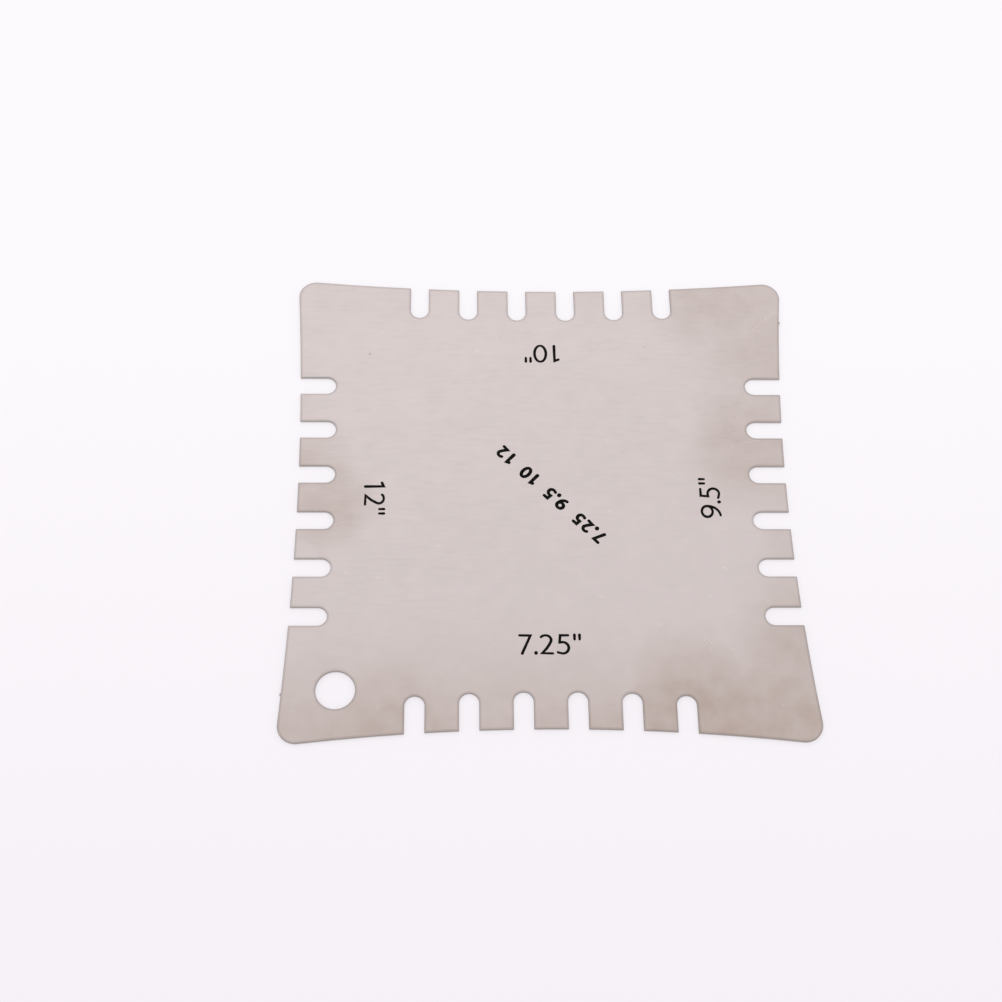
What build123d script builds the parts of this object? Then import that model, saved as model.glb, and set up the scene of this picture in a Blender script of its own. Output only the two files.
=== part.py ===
from build123d import *

import os
from math import sqrt

# Radius gauge: one flat plate of sheet steel, cut out of a square.
# Each of its four sides is a shallow concave arc with a row of open slots for strings,
# and a hole near one corner hangs it up. Millimetres, +Z up.
# The plate lies on z = 0, its square is centred on the origin, and +Y is the back.

# Driving dimensions of the plate
PLATE_SIDE = 88.9
PLATE_THICKNESS = 0.5
CORNER_RADIUS = 3.0
EDGE_BREAK = 0.05

# Radius of the concave arc on each side, from the roundest to the flattest
FRONT_ARC_RADIUS = 360.0
RIGHT_ARC_RADIUS = 390.0
BACK_ARC_RADIUS = 465.0
LEFT_ARC_RADIUS = 560.0

# Open slots, the same on each side, with a half-round inner end
SLOTS_PER_SIDE = 6
SLOT_PITCH = 8.86
SLOT_WIDTH = 3.3
SLOT_DEPTH = 6.3

# Hanging hole, the same distance in from the left and the front of the square
HOLE_DIAMETER = 6.5
HOLE_INSET = 9.4

# Stubs left on the left and right sides, where the plate was cut free of its sheet
STUB_HEIGHT = 0.28
STUB_WIDTH = 0.8
STUB_FROM_CORNER = 8.6

# Arc radius of each side, in order round the plate from the front one
ARC_RADII = {
    "front": FRONT_ARC_RADIUS,
    "right": RIGHT_ARC_RADIUS,
    "back": BACK_ARC_RADIUS,
    "left": LEFT_ARC_RADIUS,
}
STUB_SIDES = ("right", "left")

HALF_SIDE = PLATE_SIDE / 2


def arc_centre(radius):
    """Distance from the plate's centre to the centre of the arc through two corners."""
    return HALF_SIDE + sqrt(radius**2 - HALF_SIDE**2)


def reach(radius, along):
    """Distance of the arc edge from the plate's centre line, at a place along the side."""
    return arc_centre(radius) - sqrt(radius**2 - along**2)


def slot_places():
    """Places of the slots along a side, spread evenly about its middle."""
    middle = (SLOTS_PER_SIDE - 1) / 2
    return [(number - middle) * SLOT_PITCH for number in range(SLOTS_PER_SIDE)]


def slot(radius, along):
    """One slot in the front side: a channel open outwards, with a half-round inner end."""
    tip = SLOT_DEPTH - reach(radius, along)
    round_centre = tip - SLOT_WIDTH / 2
    channel_length = HALF_SIDE + SLOT_WIDTH + round_centre
    channel = Pos(along, round_centre - channel_length / 2) * Rectangle(SLOT_WIDTH, channel_length)
    return channel + Pos(along, round_centre) * Circle(SLOT_WIDTH / 2)


def arc_waste(radius):
    """What the concave arc takes off the front side: the part of its disc near the plate."""
    disc = Pos(0, -arc_centre(radius)) * Circle(radius)
    depth = HALF_SIDE - reach(radius, 0) + SLOT_WIDTH
    window = Pos(0, -HALF_SIDE) * Rectangle(2 * PLATE_SIDE, 2 * depth)
    return disc & window


def slots(radius):
    """The row of slots of one side, as cut from the front side."""
    return Sketch() + [slot(radius, along) for along in slot_places()]


def turned(shape, side):
    """A shape drawn for the front side, brought round to another side in quarter turns."""
    quarters = list(ARC_RADII).index(side)
    return Rot(0, 0, 90 * quarters) * shape


def blank():
    """The square less its four arcs, at full thickness, with its four corners rounded."""
    outline = Rectangle(PLATE_SIDE, PLATE_SIDE)
    for side, radius in ARC_RADII.items():
        outline -= turned(arc_waste(radius), side)
    plate = extrude(outline, PLATE_THICKNESS)
    return fillet(plate.edges().filter_by(Axis.Z), CORNER_RADIUS)


def openings():
    """Everything cut through the blank: four rows of slots and the hanging hole."""
    hole_place = HOLE_INSET - HALF_SIDE
    cuts = Pos(hole_place, hole_place) * Circle(HOLE_DIAMETER / 2)
    for side, radius in ARC_RADII.items():
        cuts += turned(slots(radius), side)
    return extrude(cuts, PLATE_THICKNESS)


def stub(radius):
    """A small pointed stub on the front side, between the two broken edges of the plate."""
    along = HALF_SIDE - STUB_FROM_CORNER
    edge = -reach(radius, along)
    root = edge + STUB_WIDTH
    half = STUB_WIDTH / 2
    point = (along, edge - STUB_HEIGHT)
    profile = make_face(
        Polyline((along - half, root), (along - half, edge), point, (along + half, root), close=True)
    )
    return Pos(0, 0, EDGE_BREAK) * extrude(profile, PLATE_THICKNESS - 2 * EDGE_BREAK)


def gauge_plate():
    """The whole gauge: the cut blank with both its rims broken, and the stubs."""
    plate = blank() - openings()
    rims = plate.edges().group_by(Axis.Z)
    plate = chamfer(rims[0] + rims[-1], EDGE_BREAK)
    for side in STUB_SIDES:
        plate += turned(stub(ARC_RADII[side]), side)
    return plate


def main():
    os.makedirs("parts", exist_ok=True)
    export_step(gauge_plate(), "parts/gauge_plate.step")


main()
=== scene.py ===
from math import cos, radians, sin

import bpy
import numpy as np
from bpy.props import FloatProperty, FloatVectorProperty, PointerProperty
from mathutils import Euler, Matrix, Vector


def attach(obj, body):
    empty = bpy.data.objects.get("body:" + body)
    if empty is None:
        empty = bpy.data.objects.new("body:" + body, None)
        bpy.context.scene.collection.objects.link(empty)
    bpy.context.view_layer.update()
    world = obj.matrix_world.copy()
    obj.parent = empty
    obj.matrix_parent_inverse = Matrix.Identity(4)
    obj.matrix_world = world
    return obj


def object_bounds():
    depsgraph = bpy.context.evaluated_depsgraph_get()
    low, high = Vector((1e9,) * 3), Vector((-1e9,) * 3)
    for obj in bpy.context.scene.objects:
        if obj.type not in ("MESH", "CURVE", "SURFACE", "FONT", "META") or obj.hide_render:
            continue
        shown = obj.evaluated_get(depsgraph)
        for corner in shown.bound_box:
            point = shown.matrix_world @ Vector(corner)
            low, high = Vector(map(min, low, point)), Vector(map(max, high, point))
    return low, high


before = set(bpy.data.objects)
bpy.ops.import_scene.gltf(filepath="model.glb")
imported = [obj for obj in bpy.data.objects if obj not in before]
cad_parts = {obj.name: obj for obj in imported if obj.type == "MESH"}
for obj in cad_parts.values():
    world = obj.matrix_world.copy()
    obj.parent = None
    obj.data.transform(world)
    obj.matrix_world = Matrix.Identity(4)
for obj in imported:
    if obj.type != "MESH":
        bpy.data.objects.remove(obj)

bl_info = {
    "name": "Radius Gauge",
    "version": (1, 0, 0),
    "blender": (4, 5, 0),
    "location": "View3D > Sidebar > Radius Gauge",
    "description": "Finishes a sheet-steel radius gauge: brushed steel, black figures and a pale stage",
    "category": "Object",
}

MM = 0.001
CAD_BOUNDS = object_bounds()
TOP_FACE = CAD_BOUNDS[1].z
PLATE = "gauge_plate"
BODY = "root"

# Figures beside the four sides: what they say, the turn in degrees from the front side round to
# theirs, and in millimetres how far their feet stand from the plate's centre and how far they
# sit off the side's middle
SIDE_FIGURES = {
    "front": ('7.25"', 0, 29.00, 0.03),
    "right": ('9.5"', 90, 30.31, -0.11),
    "back": ('10"', 180, 30.79, 0.0),
    "left": ('12"', 270, 31.33, 0.20),
}

# The slanting row across the middle: plain numbers, its turn in degrees, and where its middle
# stands in millimetres
MIDDLE_ROW = "7.25  9.5  10  12"
MIDDLE_ROW_TURN = 134.8
MIDDLE_ROW_PLACE = (0.82, 0.64)

# Shape of a stroke: points round its section, the power that makes the section oblong, rings in
# a round end, and how far the outside of a sharp corner may stand out, in half widths
SECTION_POINTS = 12
SECTION_POWER = 0.45
END_RINGS = 5
CORNER_LIMIT = 1.3

# Degrees from one point of an arc to the next, and the number of points along a curve
ARC_STEP = 6.0
CURVE_POINTS = 10

# Points nearer than this are one: in a figure's own unit, and in metres
SAME_PLACE = 1e-6
SAME_PLACE_METRES = 1e-9


class FigureSettings(bpy.types.PropertyGroup):
    """Sizes of the figures marked on the top face."""

    height: FloatProperty(
        name="Height", description="Height of the figures beside the sides",
        default=3.67 * MM, min=0.5 * MM, unit="LENGTH")
    stroke: FloatProperty(
        name="Stroke", description="Mean width of their strokes",
        default=0.47 * MM, min=0.05 * MM, unit="LENGTH")
    gap: FloatProperty(
        name="Gap", description="Clear space between two figures",
        default=0.40 * MM, min=0.0, unit="LENGTH")
    row_height: FloatProperty(
        name="Row height", description="Height of the figures in the slanting row",
        default=2.48 * MM, min=0.5 * MM, unit="LENGTH")
    row_stroke: FloatProperty(
        name="Row stroke", description="Mean width of the strokes in the slanting row",
        default=0.58 * MM, min=0.05 * MM, unit="LENGTH")
    row_gap: FloatProperty(
        name="Row gap", description="Clear space between two figures in the slanting row",
        default=0.28 * MM, min=0.0, unit="LENGTH")
    proud: FloatProperty(
        name="Proud", description="How far the ink stands out of the face",
        default=0.02 * MM, min=0.001 * MM, unit="LENGTH")
    contrast: FloatProperty(
        name="Pen contrast", description="How much broader an upright stroke is than a level one",
        default=0.16, min=0.0, max=1.0, subtype="FACTOR")


class SteelSettings(bpy.types.PropertyGroup):
    """Colours and finish of the brushed plate."""

    face: FloatVectorProperty(
        name="Face", description="Colour of the brushed faces",
        default=(0.651, 0.5955, 0.568), min=0.0, max=1.0, subtype="COLOR")
    # The stained colour also paints reflections of the surroundings as warm patches on the face
    stain_and_reflection: FloatVectorProperty(
        name="Stained", description="Colour of the warm stains left by handling",
        default=(0.480, 0.395, 0.341), min=0.0, max=1.0, subtype="COLOR")
    cut_wall: FloatVectorProperty(
        name="Cut wall", description="Colour of the cut walls",
        default=(0.56, 0.525, 0.50), min=0.0, max=1.0, subtype="COLOR")
    rim: FloatVectorProperty(
        name="Rim", description="Colour of the broken rims, darkened by the cut",
        default=(0.24, 0.22, 0.21), min=0.0, max=1.0, subtype="COLOR")
    roughness: FloatProperty(
        name="Roughness", description="Mean roughness of the faces",
        default=0.40, min=0.05, max=1.0, subtype="FACTOR")
    line_depth: FloatProperty(
        name="Line depth", description="Depth of the brush lines",
        default=0.002 * MM, min=0.0, unit="LENGTH")


class InkSettings(bpy.types.PropertyGroup):
    """Colour and finish of the black figures."""

    ink: FloatVectorProperty(
        name="Ink", description="Colour of the figures",
        default=(0.004, 0.0035, 0.0035), min=0.0, max=1.0, subtype="COLOR")
    roughness: FloatProperty(
        name="Roughness", description="Mean roughness of the ink",
        default=0.55, min=0.05, max=1.0, subtype="FACTOR")


class StageSettings(bpy.types.PropertyGroup):
    """Floor, lamp and camera."""

    floor: FloatVectorProperty(
        name="Floor", description="Colour of the floor as the camera sees it",
        default=(0.975, 0.948, 0.982), min=0.0, max=1.0, subtype="COLOR")
    lens: FloatProperty(
        name="Lens", description="Focal length of the camera, in millimetres",
        default=58.01, min=1.0)
    camera_place: FloatVectorProperty(
        name="Camera place", description="Where the camera stands",
        default=(-15.09 * MM, -124.43 * MM, TOP_FACE + 248.99 * MM), subtype="TRANSLATION", unit="LENGTH")
    camera_turn: FloatVectorProperty(
        name="Camera turn", description="Turn of the camera about X, Y and Z",
        default=(radians(26.422), radians(-1.382), radians(-0.629)), subtype="EULER", unit="ROTATION")
    key_power: FloatProperty(
        name="Key power", description="Power of the lamp behind the plate, in watts",
        default=0.30, min=0.0, unit="POWER")


# Lines that the figures are drawn with. All are in one unit: the distance from the middle of a
# figure's lowest stroke to the middle of its highest one.


def straight(*points):
    """A run of straight lines: its corner points as they are."""
    return np.array(points, float)


def arc(centre, radii, start, end):
    """Part of an ellipse: the centre plus the two radii times the cosine and the sine of an
    angle that goes evenly from start to end, in degrees. A falling angle goes clockwise."""
    count = int(abs(end - start) / ARC_STEP) + 1
    angle = np.radians(np.linspace(start, end, count))
    return np.array(centre) + np.array(radii) * np.stack([np.cos(angle), np.sin(angle)], axis=1)


def bend(start, control, end):
    """A quadratic curve: start, control and end weighted by (1 - t) squared, 2 t (1 - t) and
    t squared, for t from 0 to 1."""
    t = np.linspace(0.0, 1.0, CURVE_POINTS)[:, None]
    start, control, end = (np.array(point, float) for point in (start, control, end))
    return (1 - t) ** 2 * start + 2 * t * (1 - t) * control + t**2 * end


def joined(*parts):
    """Several lines as one, with each shared end point kept once."""
    path = np.concatenate(parts)
    step = np.linalg.norm(np.diff(path, axis=0), axis=1)
    return path[np.concatenate([[True], step > SAME_PLACE])]


# Each figure is its width and its strokes. A stroke is its middle line and how broad the pen
# is at its start and its end.


def figure_one():
    """A short flag and an upright stem, with room left after it."""
    return 0.425, [(straight((0.0, 0.885), (0.23, 1.0), (0.23, 0.0)), 1.08, 1.08)]


def figure_two():
    """An open hook, a sweep down to the left foot and a level base."""
    hook = arc((0.25, 0.74), (0.295, 0.26), 140, -25)
    sweep = bend(hook[-1], (0.40, 0.40), (0.285, 0.255))
    return 0.615, [(joined(hook, sweep, straight((0.03, 0.0), (0.615, 0.0))), 0.95, 1.0)]


def figure_five():
    """A level top, a stem that leans a little, and an open bowl, with a little room after it."""
    stem = straight((0.54, 1.0), (0.125, 1.0), (0.085, 0.60), (0.255, 0.62))
    bowl = arc((0.255, 0.31), (0.303, 0.31), 84, -116)
    tail = bend(bowl[-1], (0.06, 0.03), (0.0, 0.065))
    return 0.60, [(joined(stem, bowl, tail), 1.0, 0.95)]


def figure_seven():
    """A level bar and a slanting leg."""
    return 0.593, [(straight((0.0, 1.0), (0.583, 1.0), (0.13, 0.0)), 1.0, 1.0)]


def figure_nine():
    """A closed bowl, and a leg that curves down from its right side to the left."""
    bowl = arc((0.323, 0.71), (0.323, 0.29), 0, 360)
    knee = (0.45, 0.18)
    leg = joined(bend((0.646, 0.71), (0.656, 0.40), knee), bend(knee, (0.305, 0.03), (0.09, 0.0)))
    return 0.646, [(bowl, 1.0, 1.0), (leg, 0.95, 0.95)]


def figure_nought():
    """A tall oval, with the next figure set close to it."""
    return 0.60, [(arc((0.32, 0.5), (0.32, 0.525), 90, 450), 1.0, 1.0)]


def point_mark():
    """A round point on the foot line, set close to its neighbours."""
    return -0.046, [(straight((-0.023, 0.02), (-0.023, 0.04)), 1.22, 1.22)]


def inch_mark():
    """Two short upright strokes that narrow downwards."""
    left = straight((0.0, 1.02), (0.0, 0.775))
    return 0.262, [(left, 1.0, 0.85), (left + np.array((0.262, 0.0)), 1.0, 0.85)]


FIGURES = {
    "0": figure_nought, "1": figure_one, "2": figure_two, "5": figure_five,
    "7": figure_seven, "9": figure_nine, ".": point_mark, '"': inch_mark,
}

# How wide the space between two numbers is, in a figure's own unit
SPACE_WIDTH = 0.54


def set_line(words, height, stroke, gap):
    """The strokes of a line of figures, in metres, centred on x = 0 with their feet on y = 0."""
    unit = height - stroke
    pen, placed = 0.0, []
    for word in words:
        if word == " ":
            pen += SPACE_WIDTH * unit
            continue
        width, strokes = FIGURES[word]()
        corner = np.array((pen + stroke / 2, stroke / 2))
        placed += [(corner + path * unit, broad, narrow) for path, broad, narrow in strokes]
        pen += width * unit + stroke + gap
    middle = np.array(((pen - gap) / 2, 0.0))
    return [(path - middle, broad, narrow) for path, broad, narrow in placed]


def turned(path, turn):
    """Points turned about the origin, anticlockwise, by an angle in degrees."""
    cosine, sine = np.cos(np.radians(turn)), np.sin(np.radians(turn))
    return path @ np.array(((cosine, sine), (-sine, cosine)))


def sides_of(path, closed):
    """At each point: the unit direction, the unit normal to its left, and how much longer the
    offset is there than on a straight run, which is one over the cosine of half the turn."""
    if closed:
        before, after = path - np.roll(path, 1, axis=0), np.roll(path, -1, axis=0) - path
    else:
        step = np.diff(path, axis=0)
        before, after = np.concatenate([step[:1], step]), np.concatenate([step, step[-1:]])
    before = before / np.linalg.norm(before, axis=1, keepdims=True)
    after = after / np.linalg.norm(after, axis=1, keepdims=True)
    along = before + after
    along /= np.linalg.norm(along, axis=1, keepdims=True)
    left = np.stack([-along[:, 1], along[:, 0]], axis=1)
    reach = 1.0 / np.sum(along * after, axis=1)
    left_turn = before[:, 0] * after[:, 1] - before[:, 1] * after[:, 0] > 0
    blunt = np.minimum(reach, CORNER_LIMIT)
    return along, left, np.where(left_turn, reach, blunt), np.where(left_turn, blunt, reach)


def lengthened(values):
    """Values along a path, with the first and the last one repeated for the rings of its ends."""
    counts = np.ones(len(values), int)
    counts[[0, -1]] += END_RINGS
    return np.repeat(values, counts, axis=0)


def ribbon(path, half_widths, low, high):
    """A flat stroke: a rounded oblong section carried along a path, with half-round ends.

    A ring at path point i and section angle a lies at the point, plus the left normal times the
    half width times c, and at the mean of low and high plus half their difference times s, where
    c and s are the cosine and sine of a raised to a power under one with their signs kept.
    In the round ends the rings go on along the path by the half width times the sine of an
    angle, and narrow by its cosine, to a pole. A path that ends where it starts has no ends."""
    closed = np.linalg.norm(path[0] - path[-1]) < SAME_PLACE_METRES
    if closed:
        path, half_widths = path[:-1], half_widths[:-1]
    along, left, reach_left, reach_right = sides_of(path, closed)
    shrink = np.ones(len(path))
    if not closed:
        angle = np.radians(np.linspace(0.0, 90.0, END_RINGS + 1)[1:])
        head = path[0] - along[0] * half_widths[0] * np.sin(angle[::-1])[:, None]
        tail = path[-1] + along[-1] * half_widths[-1] * np.sin(angle)[:, None]
        path = np.concatenate([head, path, tail])
        shrink = np.concatenate([np.cos(angle[::-1]), shrink, np.cos(angle)])
        left, half_widths = lengthened(left), lengthened(half_widths)
        reach_left, reach_right = lengthened(reach_left), lengthened(reach_right)
    turn = np.linspace(0.0, 2 * np.pi, SECTION_POINTS, endpoint=False)
    across = np.sign(np.cos(turn)) * np.abs(np.cos(turn)) ** SECTION_POWER
    upward = np.sign(np.sin(turn)) * np.abs(np.sin(turn)) ** SECTION_POWER
    reach = np.where(across > 0, reach_left[:, None], reach_right[:, None])
    offset = across * reach * (half_widths * shrink)[:, None]
    flat = path[:, None, :] + left[:, None, :] * offset[:, :, None]
    rise = (low + high) / 2 + (high - low) / 2 * upward * np.sqrt(np.clip(shrink, 0, 1))[:, None]
    rings = np.concatenate([flat, rise[:, :, None]], axis=2)
    return closed_tube(rings) if closed else ended_tube(rings)


def tube_faces(ring_numbers, next_numbers):
    """Four-sided faces between rings of point numbers and the rings that follow them."""
    beside, next_beside = (np.roll(numbers, -1, axis=1) for numbers in (ring_numbers, next_numbers))
    return np.stack([beside, next_beside, next_numbers, ring_numbers], axis=2).reshape(-1, 4)


def closed_tube(rings):
    """Points and blocks of faces of rings that follow each other in a closed loop."""
    numbers = np.arange(rings.shape[0] * rings.shape[1]).reshape(rings.shape[:2])
    return rings.reshape(-1, 3), [tube_faces(numbers, np.roll(numbers, -1, axis=0))]


def ended_tube(rings):
    """Points and blocks of faces of rings from one pole to another, each pole a single point."""
    body = rings[1:-1]
    numbers = np.arange(body.shape[0] * body.shape[1]).reshape(body.shape[:2])
    points = np.concatenate([body.reshape(-1, 3), rings[:1, 0], rings[-1:, 0]])
    first, last = numbers[0], numbers[-1]
    start_pole, end_pole = (np.full_like(first, numbers.size + pole) for pole in (0, 1))
    start_cap = np.stack([first, np.roll(first, -1), start_pole], axis=1)
    end_cap = np.stack([np.roll(last, -1), last, end_pole], axis=1)
    return points, [tube_faces(numbers[:-1], numbers[1:]), start_cap, end_cap]


def pen_widths(path, stroke, broad, narrow, contrast):
    """Half widths along a path: half the stroke, broader where the path runs upright than where
    it runs level, and changing evenly from the broad end to the narrow one."""
    step = np.gradient(path, axis=0)
    upright = np.abs(step[:, 1]) / np.linalg.norm(step, axis=1)
    return stroke / 2 * (1 + contrast * (upright - 0.5)) * np.linspace(broad, narrow, len(path))


def new_object(name, data):
    """A new object at the origin, linked to the scene."""
    made = bpy.data.objects.new(name, data)
    bpy.context.scene.collection.objects.link(made)
    return made


def marked_line(name, words, height, stroke, gap, turn, place):
    """One line of black figures on the top face, as one object that rides with the plate."""
    settings = bpy.context.scene.gauge_figures
    low, high = TOP_FACE - settings.proud, TOP_FACE + settings.proud
    points, faces, count = [], [], 0
    for path, broad, narrow in set_line(words, height, stroke, gap):
        widths = pen_widths(path, stroke, broad, narrow, settings.contrast)
        path = turned(path + np.array(place), turn)
        stroke_points, stroke_faces = ribbon(path, widths, low, high)
        for block in stroke_faces:
            faces += (block + count).tolist()
        points.append(stroke_points)
        count += len(stroke_points)
    mesh = bpy.data.meshes.new(name)
    mesh.from_pydata(np.concatenate(points).tolist(), [], faces)
    mesh.polygons.foreach_set("use_smooth", np.ones(len(mesh.polygons), bool))
    mesh.update()
    mesh.materials.append(ink_material())
    line = new_object(name, mesh)
    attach(line, BODY)
    return line


# Helpers for node trees. A value is a number, a row of numbers or a socket.

# Where a Mix node takes its factor and what it mixes, for numbers and for colours, and where it
# gives a mixed colour
NUMBER_MIX_INPUTS = (0, 2, 3)
COLOUR_MIX_INPUTS = (0, 6, 7)
COLOUR_MIX_RESULT = 2


def give(tree, node, inputs):
    """Sets or links a node's inputs by name or number."""
    for name, value in inputs.items():
        if isinstance(value, bpy.types.NodeSocket):
            tree.links.new(value, node.inputs[name])
        else:
            node.inputs[name].default_value = value


def put(tree, kind, inputs, **settings):
    """Adds a node, gives it its settings, and sets or links its inputs."""
    node = tree.nodes.new(kind)
    for name, value in settings.items():
        setattr(node, name, value)
    give(tree, node, inputs)
    return node


def calc(tree, operation, *values):
    """A Math node."""
    return put(tree, "ShaderNodeMath", dict(enumerate(values)), operation=operation).outputs[0]


def times(tree, first, second):
    """The product of two values."""
    return calc(tree, "MULTIPLY", first, second)


def minus(tree, first, second):
    """The first value less the second."""
    return calc(tree, "SUBTRACT", first, second)


def weighted_sum(tree, start, parts):
    """A starting value plus each part times its weight."""
    total = start
    for part, weight in parts:
        total = calc(tree, "MULTIPLY_ADD", part, weight, total)
    return total


def strongest(tree, masks):
    """The greatest of several masks at each place."""
    result, *others = masks
    for mask in others:
        result = calc(tree, "MAXIMUM", result, mask)
    return result


def span(tree, value, low, high, to_low=0.0, to_high=1.0, smooth=False):
    """A Map Range node, straight or smooth, with its result kept within the two ends."""
    inputs = {"Value": value, "From Min": low, "From Max": high, "To Min": to_low, "To Max": to_high}
    kind = "SMOOTHSTEP" if smooth else "LINEAR"
    return put(tree, "ShaderNodeMapRange", inputs, interpolation_type=kind, clamp=True).outputs[0]


def vector_node(tree, operation, *values):
    """A Vector Math node's outputs: a vector, and a number for what is measured."""
    return put(tree, "ShaderNodeVectorMath", dict(enumerate(values)), operation=operation).outputs


def scaled(tree, vector, factor):
    """A vector or a colour times a number."""
    inputs = {0: vector, "Scale": factor}
    return put(tree, "ShaderNodeVectorMath", inputs, operation="SCALE").outputs[0]


def stretched(tree, vector, *sizes):
    """A vector with each of its three parts divided by a size of its own."""
    divisor = put(tree, "ShaderNodeCombineXYZ", dict(enumerate(sizes))).outputs[0]
    return vector_node(tree, "DIVIDE", vector, divisor)[0]


def spun(tree, vector, angle):
    """A vector turned about Z."""
    inputs = {"Vector": vector, "Angle": angle}
    return put(tree, "ShaderNodeVectorRotate", inputs, rotation_type="Z_AXIS").outputs[0]


def split(tree, vector):
    """The three parts of a vector: its X, Y and Z."""
    return put(tree, "ShaderNodeSeparateXYZ", {0: vector}).outputs


def noise(tree, vector, scale=1.0, detail=1.0, roughness=0.5):
    """A Noise Texture node's outputs: a number and a colour."""
    inputs = {"Vector": vector, "Scale": scale, "Detail": detail, "Roughness": roughness}
    return put(tree, "ShaderNodeTexNoise", inputs).outputs


def between(tree, factor, first, second):
    """A mix of two numbers by a factor."""
    inputs = dict(zip(NUMBER_MIX_INPUTS, (factor, first, second)))
    return put(tree, "ShaderNodeMix", inputs).outputs[0]


def blend(tree, factor, first, second):
    """A mix of two colours by a factor."""
    inputs = dict(zip(COLOUR_MIX_INPUTS, (factor, first, second)))
    return put(tree, "ShaderNodeMix", inputs, data_type="RGBA").outputs[COLOUR_MIX_RESULT]


def opaque(colour):
    """A colour of three numbers with full alpha."""
    return (*colour, 1.0)


def group(name, inputs, outputs, fill):
    """A shader node group, built once: its inputs with their defaults (none for a vector), its
    outputs, and a function that fills it from its input sockets and returns its output ones."""
    if name in bpy.data.node_groups:
        return bpy.data.node_groups[name]
    tree = bpy.data.node_groups.new(name, "ShaderNodeTree")
    for label, default in inputs.items():
        kind = "NodeSocketVector" if default is None else "NodeSocketFloat"
        socket = tree.interface.new_socket(label, in_out="INPUT", socket_type=kind)
        if default is not None:
            socket.default_value = default
    for label in outputs:
        tree.interface.new_socket(label, in_out="OUTPUT", socket_type="NodeSocketFloat")
    source = tree.nodes.new("NodeGroupInput")
    result = tree.nodes.new("NodeGroupOutput")
    for label, socket in zip(outputs, fill(tree, source.outputs)):
        tree.links.new(socket, result.inputs[label])
    arrange(tree)
    return tree


def place_group(tree, built, **inputs):
    """The outputs of a node group placed in a tree, with its values by input name."""
    return put(tree, "ShaderNodeGroup", inputs, node_tree=built).outputs


def arrange(tree, column=220, row=190):
    """Lays the nodes out in columns, each one column right of all that feed it."""
    depth = {node: 0 for node in tree.nodes}
    for _ in tree.nodes:
        for link in tree.links:
            depth[link.to_node] = max(depth[link.to_node], depth[link.from_node] + 1)
    filled = {}
    for node, place in depth.items():
        filled[place] = filled.get(place, 0) + 1
        node.location = (place * column, -filled[place] * row)


# Effects that materials share, or that one material uses many times. Noise keeps mostly within
# the ranges given here, which become 0 to 1.

LINE_RANGE = (0.3, 0.7)
CLOUD_RANGE = (0.25, 0.75)
LIGHT_DASH_RANGE = (0.54, 0.74)
DARK_DASH_RANGE = (0.46, 0.26)

# The two layers of brush lines: how many widths wide their lines are, their share of the whole,
# and how far their noise is shifted, so that the layers differ
BRUSH_LAYERS = {"fine": (1.0, 0.6, 3.0), "broad": (4.0, 0.4, 17.0)}

# The share of a scratch's half length and of a spot's radius within which it is whole
SCRATCH_WHOLE = 0.6
SPOT_WHOLE = 0.25

# Depth of the cells that short scratches lie in, so that a face passes through one layer only
CELL_DEPTH = 20.0


def brush_lines():
    """Straight brush lines along X: noise on coordinates that are divided by the length along X
    and by the width along Y, as a fine layer and a broader one, from 0 to 1."""
    def fill(tree, inputs):
        layers = []
        for widths, share, shift in BRUSH_LAYERS.values():
            width = times(tree, inputs["Width"], widths)
            place = stretched(tree, inputs["Vector"], inputs["Length"], width, width)
            moved = vector_node(tree, "ADD", place, (shift,) * 3)[0]
            layers.append((noise(tree, moved, detail=2.0, roughness=0.6)[0], share))
        return [span(tree, weighted_sum(tree, 0.0, layers), *LINE_RANGE)]
    return group("Brush lines", {"Vector": None, "Length": 4.0, "Width": 0.12}, ["Lines"], fill)


def rolled_grain():
    """Short dashes along X, as rolling leaves them: noise that is stretched along X, with its
    highest parts kept as light dashes and its lowest ones as dark dashes, each from 0 to 1."""
    def fill(tree, inputs):
        dashes = noise(tree, stretched(tree, inputs["Vector"], inputs["Length"], inputs["Width"], 1.0))[0]
        return [span(tree, dashes, *LIGHT_DASH_RANGE), span(tree, dashes, *DARK_DASH_RANGE)]
    sizes = {"Vector": None, "Length": 2.0, "Width": 0.3}
    return group("Rolled grain", sizes, ["Light", "Dark"], fill)


def scratch():
    """One straight scratch: 1 along a line through Place at Angle, fading to 0 at half its
    width to either side and towards both ends of its length."""
    def fill(tree, inputs):
        moved = vector_node(tree, "SUBTRACT", inputs["Vector"], inputs["Place"])[0]
        along, across, _ = split(tree, spun(tree, moved, times(tree, inputs["Angle"], -1.0)))
        half_length, half_width = (times(tree, inputs[name], 0.5) for name in ("Length", "Width"))
        near = span(tree, calc(tree, "ABSOLUTE", across), half_width, 0.0)
        whole_to = times(tree, half_length, SCRATCH_WHOLE)
        inside = span(tree, calc(tree, "ABSOLUTE", along), half_length, whole_to)
        return [times(tree, near, inside)]
    sizes = {"Vector": None, "Place": None, "Angle": 0.0, "Length": 5.0, "Width": 0.15}
    return group("Scratch", sizes, ["Mark"], fill)


def soft_spot():
    """A round mask over X and Y: 1 within a quarter of its radius, falling smoothly to 0 at it."""
    def fill(tree, inputs):
        flat = vector_node(tree, "MULTIPLY", inputs["Vector"], (1.0, 1.0, 0.0))[0]
        away = vector_node(tree, "DISTANCE", flat, inputs["Place"])["Value"]
        whole_to = times(tree, inputs["Radius"], SPOT_WHOLE)
        return [span(tree, away, inputs["Radius"], whole_to, smooth=True)]
    return group("Soft spot", {"Vector": None, "Place": None, "Radius": 5.0}, ["Mask"], fill)


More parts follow.
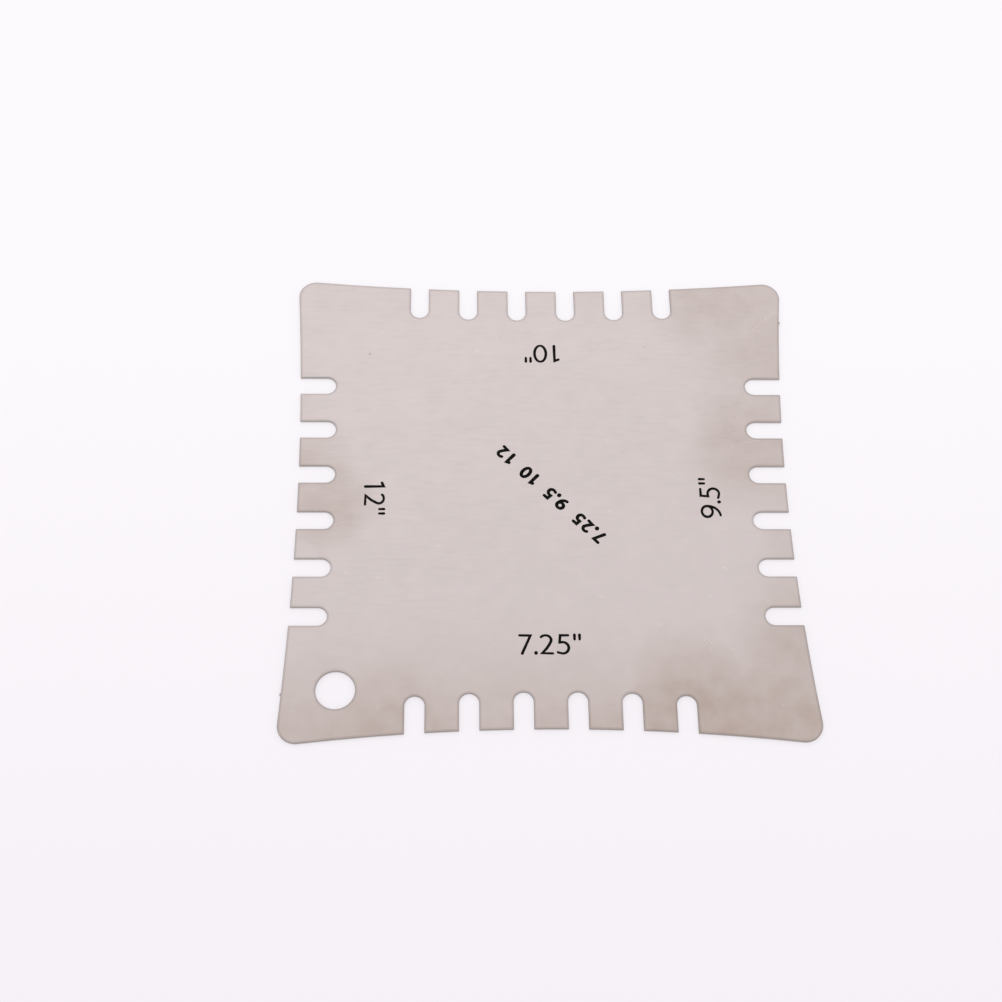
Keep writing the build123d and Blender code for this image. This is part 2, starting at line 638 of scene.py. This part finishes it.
def short_scratches():
    """Scattered short scratches: cells stretched along one direction, marked where the distance
    to the cell's own point is small, so each mark is a thin lens. Angle turns them."""
    def fill(tree, inputs):
        length = times(tree, inputs["Spacing"], inputs["Stretch"])
        turned_vector = spun(tree, inputs["Vector"], inputs["Angle"])
        place = stretched(tree, turned_vector, length, inputs["Spacing"], CELL_DEPTH)
        cell = put(tree, "ShaderNodeTexVoronoi", {"Vector": place, "Scale": 1.0, "Randomness": 1.0})
        mark = span(tree, cell.outputs["Distance"], inputs["Thinness"], 0.0)
        chosen = put(tree, "ShaderNodeSeparateColor", {0: cell.outputs["Color"]}).outputs[0]
        return [times(tree, mark, calc(tree, "GREATER_THAN", chosen, inputs["Rarity"]))]
    sizes = {"Vector": None, "Angle": 0.0, "Spacing": 1.5, "Stretch": 30.0, "Thinness": 0.04, "Rarity": 0.5}
    return group("Short scratches", sizes, ["Mark"], fill)


def clouds():
    """Slow, soft variation: noise of a given size, from 0 to 1 about a half."""
    def fill(tree, inputs):
        drift = noise(tree, inputs["Vector"], calc(tree, "DIVIDE", 1.0, inputs["Size"]), detail=3.0)[0]
        return [span(tree, drift, *CLOUD_RANGE)]
    return group("Clouds", {"Vector": None, "Size": 12.0}, ["Cloud"], fill)


# The plate's outline in millimetres, which the line of painted shade along its cut edges follows
ARC_RADII = {"front": 360.0, "right": 390.0, "back": 465.0, "left": 560.0}
HALF_SIDE = 44.45
SLOT_PITCH = 8.86
SLOTS_TO_ONE_SIDE = 3
SLOT_HALF_WIDTH = 1.65
SLOT_DEPTH = 6.3
HOLE_PLACE = -35.05
HOLE_RADIUS = 3.25
CORNER_PLACE = 41.1
CORNER_RADIUS = 3.0

# How far in from the cut edges the line of painted shade along them starts, and from where it is
# whole
EDGE_SHADE_FROM = 0.42
EDGE_SHADE_WHOLE = 0.24


def distance_between(tree, across, up):
    """The distance between two places that are so far apart across and up."""
    return calc(tree, "SQRT", calc(tree, "ADD", times(tree, across, across), times(tree, up, up)))


def nearest_radius(tree, x, y, upright_side):
    """The arc radius of the side that a place is nearest to."""
    behind, rightward = (calc(tree, "GREATER_THAN", part, 0.0) for part in (y, x))
    front_or_back = between(tree, behind, ARC_RADII["front"], ARC_RADII["back"])
    left_or_right = between(tree, rightward, ARC_RADII["left"], ARC_RADII["right"])
    return between(tree, upright_side, front_or_back, left_or_right)


def painted_edge_shade(tree, vector):
    """A fine line of painted shade along every cut edge of the faces: 1 at the edge, 0 a little inside it.

    A place is folded onto the side it is nearest to: how far along from that side's middle, and
    how far out from the plate's centre. It is inside the arc by its distance from the arc's
    centre less the radius. It is off the nearest slot by its distance from the slot's middle
    line, which ends at the centre of the round end, less half the width. The slots' middle lines
    lie a half, one and a half and two and a half pitches from the side's middle. The hole and
    the round corners have distances of their own, and the least of them all counts."""
    x, y, _ = split(tree, vector)
    width, depth = calc(tree, "ABSOLUTE", x), calc(tree, "ABSOLUTE", y)
    along, out = calc(tree, "MINIMUM", width, depth), calc(tree, "MAXIMUM", width, depth)
    radius = nearest_radius(tree, x, y, calc(tree, "GREATER_THAN", width, depth))

    def arc_height(place):
        return calc(tree, "SQRT", minus(tree, times(tree, radius, radius), times(tree, place, place)))

    centre = calc(tree, "ADD", arc_height(HALF_SIDE), HALF_SIDE)
    from_arc = minus(tree, distance_between(tree, along, minus(tree, centre, out)), radius)
    number = calc(tree, "ADD", calc(tree, "FLOOR", calc(tree, "DIVIDE", along, SLOT_PITCH)), 0.5)
    slot = times(tree, calc(tree, "MINIMUM", number, SLOTS_TO_ONE_SIDE - 0.5), SLOT_PITCH)
    mouth = minus(tree, centre, arc_height(slot))
    round_centre = minus(tree, mouth, SLOT_DEPTH - SLOT_HALF_WIDTH)
    past_centre = calc(tree, "MAXIMUM", minus(tree, round_centre, out), 0.0)
    to_slot = distance_between(tree, minus(tree, along, slot), past_centre)
    from_slot = minus(tree, to_slot, SLOT_HALF_WIDTH)
    to_hole = distance_between(tree, minus(tree, x, HOLE_PLACE), minus(tree, y, HOLE_PLACE))
    from_hole = minus(tree, to_hole, HOLE_RADIUS)
    past_corner = (calc(tree, "MAXIMUM", minus(tree, part, CORNER_PLACE), 0.0) for part in (along, out))
    from_corner = minus(tree, CORNER_RADIUS, distance_between(tree, *past_corner))
    least = from_arc
    for distance in (from_slot, from_hole, from_corner):
        least = calc(tree, "MINIMUM", least, distance)
    return span(tree, least, EDGE_SHADE_FROM, EDGE_SHADE_WHOLE)


def millimetres(tree):
    """Object coordinates in millimetres."""
    place = tree.nodes.new("ShaderNodeTexCoord").outputs["Object"]
    return put(tree, "ShaderNodeMapping", {"Vector": place, "Scale": (1 / MM,) * 3}).outputs[0]


def upright_share(tree):
    """How upright the surface's own normal is: 1 on a flat face, 0 on a wall."""
    normal = tree.nodes.new("ShaderNodeTexCoord").outputs["Normal"]
    return calc(tree, "ABSOLUTE", split(tree, normal)["Z"])


# Warm patches, partly stains left by handling and partly painted reflections of the
# surroundings, from the left side round by the back to the front: place and radius in
# millimetres, and strength
STAINS_AND_REFLECTIONS = [
    ((-37, -2), 10, 0.50), ((-43, 3), 14, 0.50), ((34, 44), 20, 0.40), ((43, 28), 18, 0.40),
    ((38, 10), 16, 0.50), ((44, -28), 18, 0.60), ((40, -43), 22, 0.80), ((24, -42), 21, 0.88),
    ((6, -50), 22, 0.85), ((-26, -46), 22, 0.75),
]

# Warm bands that darken the face towards its edges, strongest at the front: the axis across
# them, where along it the band starts and where it is whole, in millimetres, and its strength
EDGE_BANDS = {
    "front": ("Y", -18.0, -52.0, 0.65),
    "right": ("X", 34.0, 42.0, 0.25),
    "left": ("X", -37.0, -46.0, 0.1),
    "back": ("Y", 28.0, 52.0, 0.15),
}

# How far the outlines of the stains and painted reflections drift in millimetres, on noise of
# what scale, and their mottle: its size in millimetres, and the part of its range that goes
# to the two shares of strength
STAIN_AND_REFLECTION_DRIFT = 3.5
DRIFT_SCALE = 0.11
MOTTLE_SIZE = 3.4
MOTTLE_RANGE = (0.15, 0.85)
MOTTLE_SHARES = (0.69, 1.02)

# Scratches on the top face: place, angle in degrees, length and width, in millimetres
SCRATCHES = [
    ((40.6, 36.0), 43, 7.0, 0.30), ((41.8, 36.4), 46, 4.5, 0.20), ((37.4, 33.6), 30, 4.5, 0.18),
    ((39.6, 34.0), 45, 3.6, 0.16), ((32.0, 42.6), 24, 3.0, 0.18), ((34.7, 10.7), 12, 7.0, 0.18),
    ((33.9, 9.6), -28, 5.0, 0.16), ((-37.0, -5.2), 9, 10.0, 0.2), ((21.0, -3.0), 64, 6.0, 0.12),
    ((-12.0, 12.0), -9, 8.0, 0.12),
]

# Two small hatches of side-by-side scratches: middle, angle in degrees, length, how many and how
# far apart, in millimetres, and how wide one scratch of them is
HATCHES = [((26.3, -26.8), 48, 2.6, 5, 0.55), ((32.9, 41.4), 40, 1.8, 4, 0.5)]
HATCH_WIDTH = 0.2

# Where scratches are broken: the scale of the noise, and its range, which goes to these shares
BREAK_SCALE = 1.6
BREAK_RANGE = (0.38, 0.6)
BREAK_SHARES = (0.1, 1.0)

# Tiny dark specks: place and radius in millimetres
SPECKS = [((-31.0, 28.8), 0.40), ((-7.5, 32.5), 0.2), ((18.6, 30.4), 0.22)]

# Where the rolled grain grows coarser: the direction, and from and to along it in millimetres,
# and how much of it shows at the two ends
COARSER_WAY = (-0.5, 1.0, 0.0)
COARSER_RANGE = (-21.0, -2.0)
COARSER_SHARES = (0.33, 1.0)


def spot(tree, vector, place, radius):
    """The mask of one soft spot at a place on the plate."""
    return place_group(tree, soft_spot(), Vector=vector, Place=(*place, 0.0), Radius=radius)[0]


def stain_and_reflection(tree, vector):
    """How strong the stains and painted reflections are at each place: the strongest of the spots
    and of the warm bands at the edges, on coordinates that drift by noise so that no outline is
    round or straight, and mottled by finer noise."""
    drift = noise(tree, vector, DRIFT_SCALE, detail=2.0)["Color"]
    centred = vector_node(tree, "SUBTRACT", drift, (0.5,) * 3)[0]
    moved = vector_node(tree, "MULTIPLY_ADD", centred, (2 * STAIN_AND_REFLECTION_DRIFT,) * 3, vector)[0]
    masks = [times(tree, spot(tree, moved, place, radius), strength) for place, radius, strength in STAINS_AND_REFLECTIONS]
    parts = split(tree, moved)
    for axis, start, whole, strength in EDGE_BANDS.values():
        masks.append(span(tree, parts[axis], start, whole, 0.0, strength, smooth=True))
    mottle = place_group(tree, clouds(), Vector=vector, Size=MOTTLE_SIZE)[0]
    return times(tree, strongest(tree, masks), span(tree, mottle, *MOTTLE_RANGE, *MOTTLE_SHARES))


def hatch(middle, angle, length, count, gap):
    """The scratches of one hatch, side by side about its middle: each is moved across its own
    direction by a whole or half number of gaps."""
    for number in range(count):
        shift = (number - (count - 1) / 2) * gap
        place = (middle[0] - shift * sin(radians(angle)), middle[1] + shift * cos(radians(angle)))
        yield place, angle, length, HATCH_WIDTH


def scratched(tree, vector):
    """Where the single scratches and the two hatches lie on the top face, each broken here and
    there by noise."""
    lines = SCRATCHES + [line for row in HATCHES for line in hatch(*row)]
    marks = [place_group(tree, scratch(), Vector=vector, Place=(*place, 0.0), Angle=radians(angle),
                         Length=length, Width=width)[0] for place, angle, length, width in lines]
    broken = noise(tree, vector, BREAK_SCALE)[0]
    return times(tree, strongest(tree, marks), span(tree, broken, *BREAK_RANGE, *BREAK_SHARES))


def coarser(tree, vector):
    """How strongly the rolled grain shows: a third at the front right, whole towards the back."""
    along = vector_node(tree, "DOT_PRODUCT", vector, COARSER_WAY)["Value"]
    return span(tree, along, *COARSER_RANGE, *COARSER_SHARES)


# The steel's textures. Lengths, widths, spacings and sizes are in millimetres, a stretch is a
# number of spacings, an angle is in radians, and thinness and rarity are shares.
BRUSH_LINES = {"Length": 7.0, "Width": 0.14}
ROLLED_GRAIN = {"Length": 3.2, "Width": 0.48}
NICKS = {"Spacing": 1.6, "Stretch": 5.0, "Thinness": 0.09, "Rarity": 0.45}
GLINTS = {"Angle": 0.5, "Spacing": 2.6, "Stretch": 2.2, "Thinness": 0.10, "Rarity": 0.7}
CLOUD_SIZE = 11.0
FLECK_SIZE = 2.6
CUT_MARK_SIZE = 0.22

# How much each texture brightens the steel, or darkens it where the number is below nought.
# The line along the cut edges is painted shade.
TONES = {
    "lines": 0.020, "cloud": 0.030, "fleck": 0.032, "light dashes": 0.020, "dark dashes": -0.036,
    "nicks": -0.05, "glints": 0.13, "scratches": 0.17, "edge shade": -0.16, "specks": -0.22,
}
# The even textures average a half, and together they leave the colour as it is
EVEN_TEXTURES = ("lines", "cloud", "fleck")

# How upright the surface's normal is where a wall and a broken rim begin and are whole
WALL_RANGE = (0.97, 0.80)
RIM_RANGE = (0.45, 0.60)

# How dark the marks on a cut wall are, and what brush lines, stains with their painted
# reflections and walls add to roughness
CUT_MARK_SHADE = 0.85
LINE_ROUGHNESS = 0.10
STAIN_AND_REFLECTION_ROUGHNESS = 0.06
WALL_ROUGHNESS = 0.12

# How deep scratches and dashes are beside the brush lines
SCRATCH_DEPTH = 0.8
DASH_DEPTH = 0.6


def new_material(name):
    """An empty node material and its Principled shader."""
    material = bpy.data.materials.new(name)
    material.use_nodes = True
    tree = material.node_tree
    tree.nodes.clear()
    shader = tree.nodes.new("ShaderNodeBsdfPrincipled")
    output = tree.nodes.new("ShaderNodeOutputMaterial")
    tree.links.new(shader.outputs[0], output.inputs["Surface"])
    return material, tree, shader


def raised(tree, height, depth):
    """The normals of a surface whose height from 0 to 1 stands for a depth in metres."""
    return put(tree, "ShaderNodeBump", {"Height": height, "Distance": depth, "Strength": 1.0}).outputs[0]


def steel_textures(tree, vector):
    """Each texture of the steel's faces by name, as a mask from 0 to 1."""
    light, dark = place_group(tree, rolled_grain(), Vector=vector, **ROLLED_GRAIN)
    coarse = coarser(tree, vector)
    return {
        "lines": place_group(tree, brush_lines(), Vector=vector, **BRUSH_LINES)[0],
        "cloud": place_group(tree, clouds(), Vector=vector, Size=CLOUD_SIZE)[0],
        "fleck": place_group(tree, clouds(), Vector=vector, Size=FLECK_SIZE)[0],
        "light grain": light,
        "dark grain": dark,
        "light dashes": times(tree, light, coarse),
        "dark dashes": times(tree, dark, coarse),
        "nicks": place_group(tree, short_scratches(), Vector=vector, **NICKS)[0],
        "glints": place_group(tree, short_scratches(), Vector=vector, **GLINTS)[0],
        "scratches": scratched(tree, vector),
        # Painted shade: a fine dark line along the cut edges
        "edge shade": painted_edge_shade(tree, vector),
        "specks": strongest(tree, [spot(tree, vector, place, radius) for place, radius in SPECKS]),
    }


def steel_material():
    """Rolled and brushed sheet steel: fine lines and short dashes along X in colour, roughness
    and bump, warm stains with painted reflections of the surroundings, scratches and specks, a
    line of painted shade along the cut edges, and darker cut walls with fine marks."""
    settings = bpy.context.scene.gauge_steel
    material, tree, shader = new_material("Brushed steel")
    vector, upright = millimetres(tree), upright_share(tree)
    # The stain mask carries painted reflections of the surroundings as well as stains
    textures, stain_and_reflection_mask = steel_textures(tree, vector), stain_and_reflection(tree, vector)
    even = 1.0 - sum(TONES[name] for name in EVEN_TEXTURES) / 2
    tone = weighted_sum(tree, even, [(textures[name], weight) for name, weight in TONES.items()])
    face = scaled(tree, blend(tree, stain_and_reflection_mask, opaque(settings.face), opaque(settings.stain_and_reflection)), tone)
    wall = span(tree, upright, *WALL_RANGE)
    rim = times(tree, wall, span(tree, upright, *RIM_RANGE))
    cut_marks = place_group(tree, clouds(), Vector=vector, Size=CUT_MARK_SIZE)[0]
    shaded = opaque(CUT_MARK_SHADE * part for part in settings.cut_wall)
    cut = blend(tree, cut_marks, shaded, opaque(settings.cut_wall))
    finished = blend(tree, rim, blend(tree, wall, face, cut), opaque(settings.rim))
    rough = weighted_sum(tree, settings.roughness - LINE_ROUGHNESS / 2, [
        (textures["lines"], LINE_ROUGHNESS), (stain_and_reflection_mask, STAIN_AND_REFLECTION_ROUGHNESS), (wall, WALL_ROUGHNESS)])
    scored = calc(tree, "MAXIMUM", textures["nicks"], textures["scratches"])
    dashes = minus(tree, textures["light grain"], textures["dark grain"])
    grained = weighted_sum(tree, textures["lines"], [(scored, -SCRATCH_DEPTH), (dashes, DASH_DEPTH)])
    normal = raised(tree, between(tree, wall, grained, cut_marks), settings.line_depth)
    give(tree, shader, {"Base Color": finished, "Metallic": 1.0, "Roughness": rough, "Normal": normal})
    arrange(tree)
    return material


# The ink's textures in millimetres, where it is worn and how much, the grey that shows there,
# how much its roughness varies, how much of its height is lines and clouds, how deep that is in
# metres, and how much it shines
INK_LINES = {"Length": 5.0, "Width": 0.11}
INK_CLOUD_SIZE = 0.5
INK_WORN_RANGE = (0.78, 1.0)
INK_WORN_SHARE = 0.35
INK_WORN_COLOUR = (0.10, 0.09, 0.09)
INK_ROUGHNESS_RANGE = 0.16
INK_LINE_SHARE = 0.4
INK_CLOUD_SHARE = 0.6
INK_DEPTH = 0.002 * MM
INK_SHINE = 0.06


def ink_material():
    """Black ink laid on the brushed face: the brush lines show through it a little, and it is
    worn by tiny specks."""
    if "Black ink" in bpy.data.materials:
        return bpy.data.materials["Black ink"]
    settings = bpy.context.scene.gauge_ink
    material, tree, shader = new_material("Black ink")
    vector = millimetres(tree)
    lines = place_group(tree, brush_lines(), Vector=vector, **INK_LINES)[0]
    cloud = place_group(tree, clouds(), Vector=vector, Size=INK_CLOUD_SIZE)[0]
    worn = span(tree, cloud, *INK_WORN_RANGE, 0.0, INK_WORN_SHARE)
    colour = blend(tree, worn, opaque(settings.ink), opaque(INK_WORN_COLOUR))
    even = settings.roughness - INK_ROUGHNESS_RANGE / 2
    rough = weighted_sum(tree, even, [(cloud, INK_ROUGHNESS_RANGE)])
    height = weighted_sum(tree, 0.0, [(lines, INK_LINE_SHARE), (cloud, INK_CLOUD_SHARE)])
    give(tree, shader, {"Base Color": colour, "Roughness": rough, "Specular IOR Level": INK_SHINE,
                        "Normal": raised(tree, height, INK_DEPTH)})
    arrange(tree)
    return material


# The floor: half its side in metres, and how far it lies under the plate
FLOOR_REACH = 6.0
FLOOR_DROP = 0.01 * MM

# How much of the floor's colour is glow, with as much again matt
FLOOR_SHARE = 0.52

# Painted shade on the floor: where along Y it starts to darken towards the front and where it
# is darkest, the shares of its red, green and blue there, and how far from the middle the
# darkening ends and is whole
FLOOR_FADE = (0.04, -0.09)
FLOOR_FRONT_SHADE = (0.935, 0.92, 0.935)
FLOOR_NEAR = (1.0, 0.2)

# The lamp behind the plate: its place and side in metres, and its colour
KEY_PLACE = (-0.10, 0.72, 0.60)
KEY_SIDE = 0.6
KEY_COLOUR = (1.0, 0.99, 0.98)

# The brightness of the surround at the horizon and overhead
SURROUND_LEVELS = (0.85, 0.95)

# The camera's sensor width in millimetres, and how near it still sees, in metres
SENSOR_WIDTH = 36.0
NEAREST_SEEN = 0.01


def seen_directly(tree):
    """1 for what the camera or a reflection sees, 0 for what only lights the scene."""
    rays = tree.nodes.new("ShaderNodeLightPath").outputs
    return calc(tree, "MAXIMUM", rays["Is Camera Ray"], rays["Is Glossy Ray"])


def floor_material():
    """A pale matt floor, with painted shade that makes it a little darker in front of the plate.
    The camera and reflections see about half of its colour as a plain glow, so it stays pale,
    and as much as a matt surface that keeps the plate's shadow. From underneath it is clear, so
    it hides nothing."""
    material, tree, shader = new_material("Pale floor")
    place = tree.nodes.new("ShaderNodeTexCoord").outputs["Object"]
    forward = span(tree, split(tree, place)["Y"], *FLOOR_FADE)
    near = span(tree, vector_node(tree, "LENGTH", place)["Value"], *FLOOR_NEAR)
    lit = tuple(FLOOR_SHARE * part for part in bpy.context.scene.gauge_stage.floor)
    front = tuple(share * part for share, part in zip(FLOOR_FRONT_SHADE, lit))
    shaded = blend(tree, times(tree, forward, near), opaque(lit), opaque(front))
    underneath = tree.nodes.new("ShaderNodeNewGeometry").outputs["Backfacing"]
    give(tree, shader, {"Base Color": shaded, "Roughness": 1.0, "Specular IOR Level": 0.0,
                        "Emission Color": shaded, "Emission Strength": seen_directly(tree),
                        "Alpha": minus(tree, 1.0, underneath)})
    arrange(tree)
    return material


def pale_floor():
    """A large square floor a hair below the plate's underside."""
    low = CAD_BOUNDS[0].z - FLOOR_DROP
    corners = [(x * FLOOR_REACH, y * FLOOR_REACH, low) for x, y in ((-1, -1), (1, -1), (1, 1), (-1, 1))]
    mesh = bpy.data.meshes.new("floor")
    mesh.from_pydata(corners, [], [(0, 1, 2, 3)])
    mesh.materials.append(floor_material())
    floor = new_object("floor", mesh)


def key_lamp():
    """A square soft lamp behind the plate that points at its middle."""
    light = bpy.data.lights.new("key_lamp", "AREA")
    light.shape, light.size, light.color = "SQUARE", KEY_SIDE, KEY_COLOUR
    light.energy = bpy.context.scene.gauge_stage.key_power
    aim = (-Vector(KEY_PLACE)).to_track_quat("-Z", "Y")
    lamp = new_object("key_lamp", light)
    lamp.matrix_world = Matrix.Translation(KEY_PLACE) @ aim.to_matrix().to_4x4()


def soft_world():
    """A plain bright surround: a little brighter overhead than at the horizon, and the floor's
    own colour where the camera or a reflection sees it."""
    world = bpy.data.worlds.new("Soft surround")
    bpy.context.scene.world = world
    world.use_nodes = True
    tree = world.node_tree
    tree.nodes.clear()
    direction = tree.nodes.new("ShaderNodeTexCoord").outputs["Generated"]
    level = span(tree, split(tree, direction)["Z"], 0.0, 1.0, *SURROUND_LEVELS)
    light = put(tree, "ShaderNodeCombineColor", {0: level, 1: level, 2: level}).outputs[0]
    shown = blend(tree, seen_directly(tree), light, opaque(bpy.context.scene.gauge_stage.floor))
    background = put(tree, "ShaderNodeBackground", {"Color": shown, "Strength": 1.0})
    output = tree.nodes.new("ShaderNodeOutputWorld")
    tree.links.new(background.outputs[0], output.inputs["Surface"])
    arrange(tree)


def stage_camera():
    """The camera, where the photograph was taken from."""
    settings = bpy.context.scene.gauge_stage
    data = bpy.data.cameras.new("camera")
    data.lens, data.sensor_width, data.clip_start = settings.lens, SENSOR_WIDTH, NEAREST_SEEN
    turn = Euler(settings.camera_turn).to_matrix().to_4x4()
    camera = new_object("camera", data)
    camera.matrix_world = Matrix.Translation(settings.camera_place) @ turn
    bpy.context.scene.camera = camera


class GAUGE_OT_brush_plate(bpy.types.Operator):
    """Give the plate its brushed steel"""

    bl_idname = "gauge.brush_plate"
    bl_label = "Brush Plate"

    def execute(self, context):
        steel = steel_material()
        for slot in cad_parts[PLATE].material_slots:
            slot.material = steel
        return {"FINISHED"}


class GAUGE_OT_mark_sides(bpy.types.Operator):
    """Mark the figures beside the four sides"""

    bl_idname = "gauge.mark_sides"
    bl_label = "Mark Sides"

    def execute(self, context):
        sizes = context.scene.gauge_figures
        for side, (words, turn, feet, shift) in SIDE_FIGURES.items():
            marked_line(f"{side}_figures", words, sizes.height, sizes.stroke, sizes.gap,
                        turn, (shift * MM, -feet * MM))
        return {"FINISHED"}


class GAUGE_OT_mark_row(bpy.types.Operator):
    """Mark the slanting row of figures across the middle"""

    bl_idname = "gauge.mark_row"
    bl_label = "Mark Row"

    def execute(self, context):
        sizes = context.scene.gauge_figures
        middle = turned(np.array([MIDDLE_ROW_PLACE]) * MM, -MIDDLE_ROW_TURN)[0]
        place = middle - np.array((0.0, sizes.row_height / 2))
        marked_line("middle_figures", MIDDLE_ROW, sizes.row_height, sizes.row_stroke,
                    sizes.row_gap, MIDDLE_ROW_TURN, place)
        return {"FINISHED"}


class GAUGE_OT_set_stage(bpy.types.Operator):
    """Set the floor, the surround, the lamp and the camera"""

    bl_idname = "gauge.set_stage"
    bl_label = "Set Stage"

    def execute(self, context):
        pale_floor()
        soft_world()
        key_lamp()
        stage_camera()
        context.scene.view_settings.view_transform = "Standard"
        return {"FINISHED"}


class GAUGE_PT_panel(bpy.types.Panel):
    """Lists the steps that finish the gauge"""

    bl_label = "Radius Gauge"
    bl_idname = "GAUGE_PT_panel"
    bl_space_type = "VIEW_3D"
    bl_region_type = "UI"
    bl_category = "Radius Gauge"

    def draw(self, context):
        for step in STEPS:
            self.layout.operator(step.bl_idname)
        for group_name in SETTINGS:
            settings = getattr(context.scene, group_name)
            box = self.layout.box()
            for name in settings.bl_rna.properties.keys():
                if name not in ("rna_type", "name"):
                    box.prop(settings, name)


STEPS = (GAUGE_OT_brush_plate, GAUGE_OT_mark_sides, GAUGE_OT_mark_row, GAUGE_OT_set_stage)
SETTINGS = {
    "gauge_figures": FigureSettings,
    "gauge_steel": SteelSettings,
    "gauge_ink": InkSettings,
    "gauge_stage": StageSettings,
}


def register():
    for settings in SETTINGS.values():
        bpy.utils.register_class(settings)
    for cls in (*STEPS, GAUGE_PT_panel):
        bpy.utils.register_class(cls)
    for name, settings in SETTINGS.items():
        setattr(bpy.types.Scene, name, PointerProperty(type=settings))


def unregister():
    for name in SETTINGS:
        delattr(bpy.types.Scene, name)
    for cls in (GAUGE_PT_panel, *reversed(STEPS)):
        bpy.utils.unregister_class(cls)
    for settings in SETTINGS.values():
        bpy.utils.unregister_class(settings)


def main():
    register()
    bpy.ops.gauge.brush_plate()
    bpy.ops.gauge.mark_sides()
    bpy.ops.gauge.mark_row()
    bpy.ops.gauge.set_stage()


if __name__ == "__main__":
    main()
